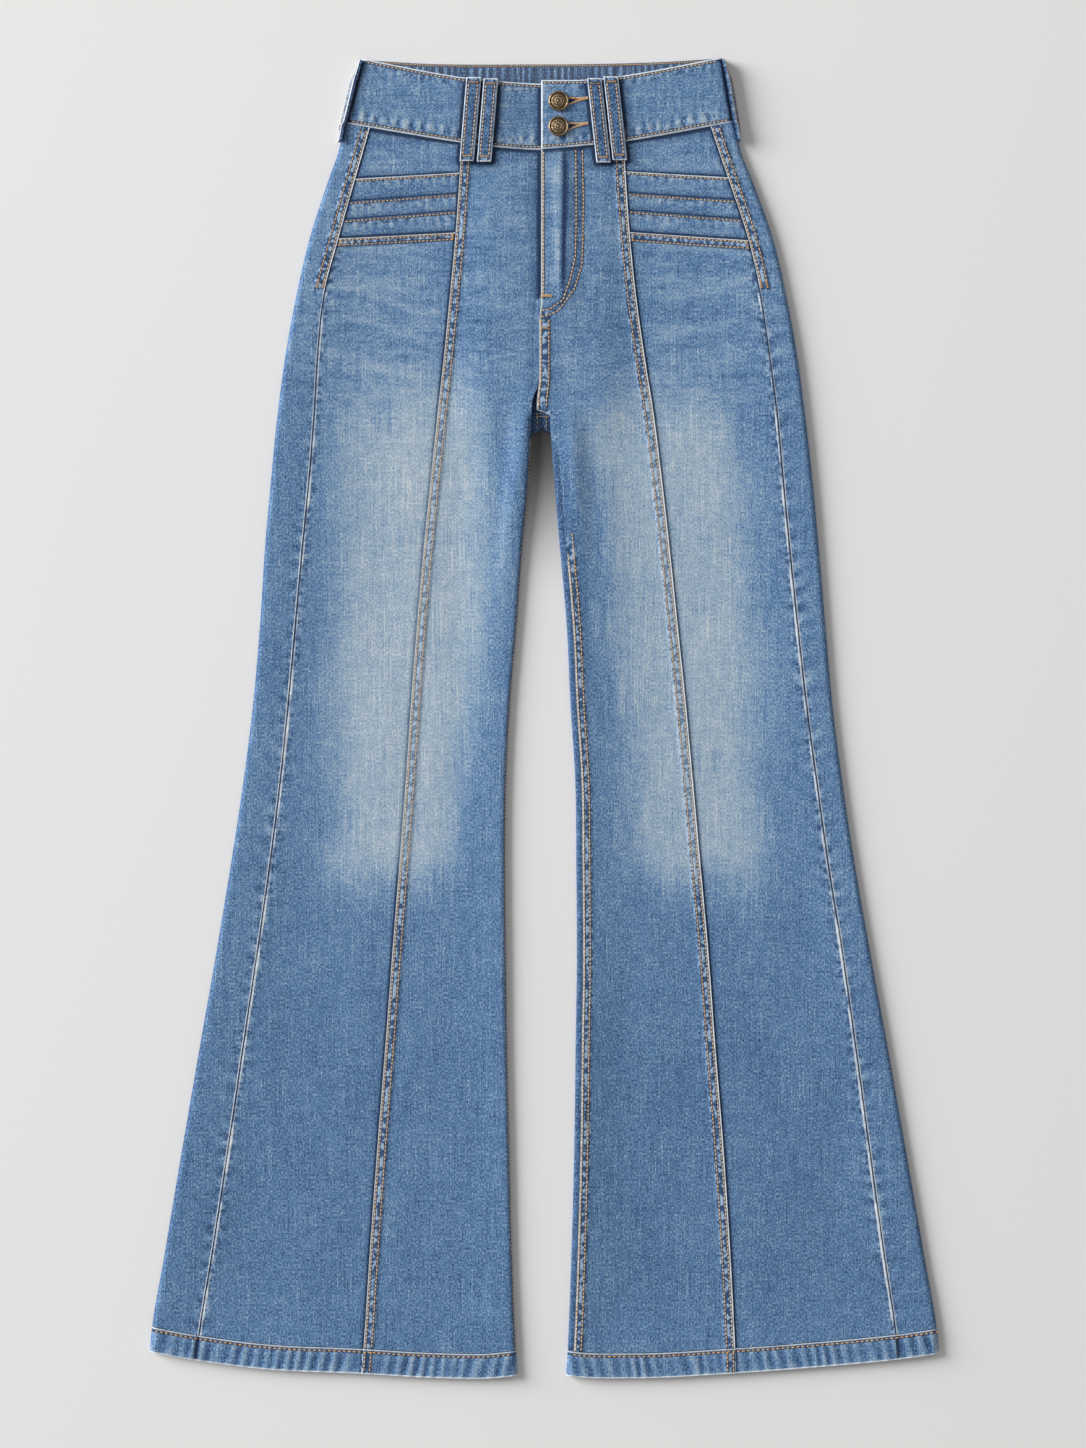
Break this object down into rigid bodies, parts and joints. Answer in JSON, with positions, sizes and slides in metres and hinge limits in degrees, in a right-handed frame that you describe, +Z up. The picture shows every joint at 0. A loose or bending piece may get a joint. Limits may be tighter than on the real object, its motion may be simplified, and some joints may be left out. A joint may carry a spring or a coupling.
{
  "type": "wide leg jeans",
  "caption": "High-waisted wide leg denim jeans laid flat, front up, with buttoned waistband, belt loops, front panel seams, tucked hips and flared legs.",
  "frame": {"origin": "middle of the laid-out garment's outline, on the surface that it lies on", "axes": "+Y towards the waist, +X towards the wearer's left leg, +Z up from the surface, out of the garment's front"},
  "size_m": [0.6948, 1.1628, 0.0117],
  "materials": {
    "denim": "washed mid-blue cotton twill with pale worn edges and tan topstitching",
    "denim_inside": "pale inner side of cotton denim twill",
    "brass": "antique brass, worn bright on the raised rims",
    "zip_tape": "dark woven zip tape with metal teeth"
  },
  "bodies": {
    "root": {"centre_front_r": "denim", "centre_front_l": "denim", "side_front_r": "denim", "side_front_l": "denim", "hip_panel_r": "denim", "hip_panel_l": "denim", "pocket_mouth_r": "denim", "pocket_mouth_l": "denim", "back_panel_r": "denim", "back_panel_l": "denim", "hem_r": "denim", "hem_l": "denim", "waistband_front_r": "denim", "waistband_front_l": "denim", "waistband_back": "denim_inside", "belt_loop_1": "denim", "belt_loop_2": "denim", "belt_loop_3": "denim", "belt_loop_4": "denim", "belt_loop_side_r": "denim", "belt_loop_side_l": "denim", "button_upper": "brass", "button_lower": "brass", "fly_shield": "denim", "zip_chain": "zip_tape", "zip_slider": "brass"}
  },
  "joints": []
}
